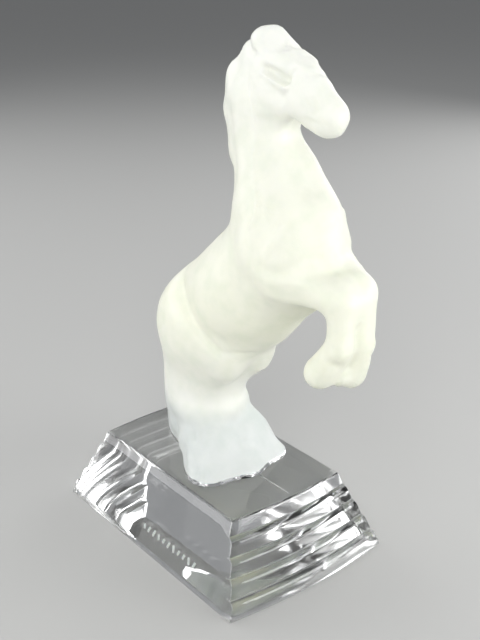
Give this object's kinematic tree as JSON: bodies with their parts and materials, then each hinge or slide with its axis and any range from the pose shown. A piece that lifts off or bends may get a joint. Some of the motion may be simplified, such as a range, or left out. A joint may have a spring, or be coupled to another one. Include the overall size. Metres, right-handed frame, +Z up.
{
  "type": "crystal horse paperweight",
  "caption": "Frosted crystal horse rearing on a clear stepped crystal block, a paperweight that stands on its flat underside.",
  "frame": {"origin": "centre of the flat underside of the stepped block", "axes": "+Z up, +X the way the horse faces, along the block's long side, +Y to the horse's left"},
  "size_m": [0.101, 0.0564, 0.1495],
  "materials": {
    "crystal": "one crystal pressing: acid-frosted satin white on the horse, polished and clear on the stepped block"
  },
  "bodies": {
    "root": {"crystal_horse": "crystal"}
  },
  "joints": []
}
